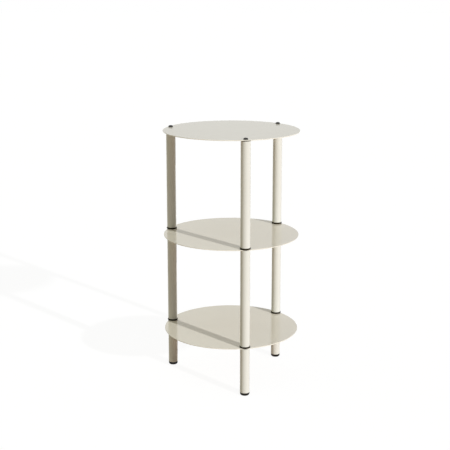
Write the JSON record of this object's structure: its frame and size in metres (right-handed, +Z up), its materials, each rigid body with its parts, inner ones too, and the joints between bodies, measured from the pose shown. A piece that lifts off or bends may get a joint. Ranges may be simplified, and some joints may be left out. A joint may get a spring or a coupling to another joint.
{
  "type": "tiered side table",
  "caption": "Round side table: flat round shelves stacked on slim tubular posts, with dark collars at each joint and dark glides.",
  "frame": {"origin": "on the floor, below the centre of the round shelves", "axes": "+Z up along the posts; the front post stands 15 degrees to the right of -Y"},
  "size_m": [0.3599, 0.36, 0.6742],
  "materials": {
    "shelf_coat": "semi-gloss powder coat, warm off-white",
    "tube_coat": "semi-gloss powder coat, warm off-white",
    "plug_plastic": "moulded, satin black",
    "foot_plastic": "moulded, matte black",
    "black_steel": "black oxide",
    "zinc_steel": "zinc plated"
  },
  "bodies": {
    "root": {"bottom_shelf": "shelf_coat", "middle_shelf": "shelf_coat", "top_shelf": "shelf_coat", "foot_right": "foot_plastic", "lower_leg_right": "tube_coat", "middle_tube_right": "tube_coat", "upper_tube_right": "tube_coat", "lower_insert_right": "zinc_steel", "middle_insert_right": "zinc_steel", "upper_insert_right": "zinc_steel", "middle_plug_right": "plug_plastic", "middle_stud_right": "zinc_steel", "upper_plug_right": "plug_plastic", "upper_stud_right": "zinc_steel", "top_washer_right": "plug_plastic", "top_screw_right": "black_steel", "foot_left": "foot_plastic", "lower_leg_left": "tube_coat", "middle_tube_left": "tube_coat", "upper_tube_left": "tube_coat", "lower_insert_left": "zinc_steel", "middle_insert_left": "zinc_steel", "upper_insert_left": "zinc_steel", "middle_plug_left": "plug_plastic", "middle_stud_left": "zinc_steel", "upper_plug_left": "plug_plastic", "upper_stud_left": "zinc_steel", "top_washer_left": "plug_plastic", "top_screw_left": "black_steel", "foot_front": "foot_plastic", "lower_leg_front": "tube_coat", "middle_tube_front": "tube_coat", "upper_tube_front": "tube_coat", "lower_insert_front": "zinc_steel", "middle_insert_front": "zinc_steel", "upper_insert_front": "zinc_steel", "middle_plug_front": "plug_plastic", "middle_stud_front": "zinc_steel", "upper_plug_front": "plug_plastic", "upper_stud_front": "zinc_steel", "top_washer_front": "plug_plastic", "top_screw_front": "black_steel"}
  },
  "joints": []
}
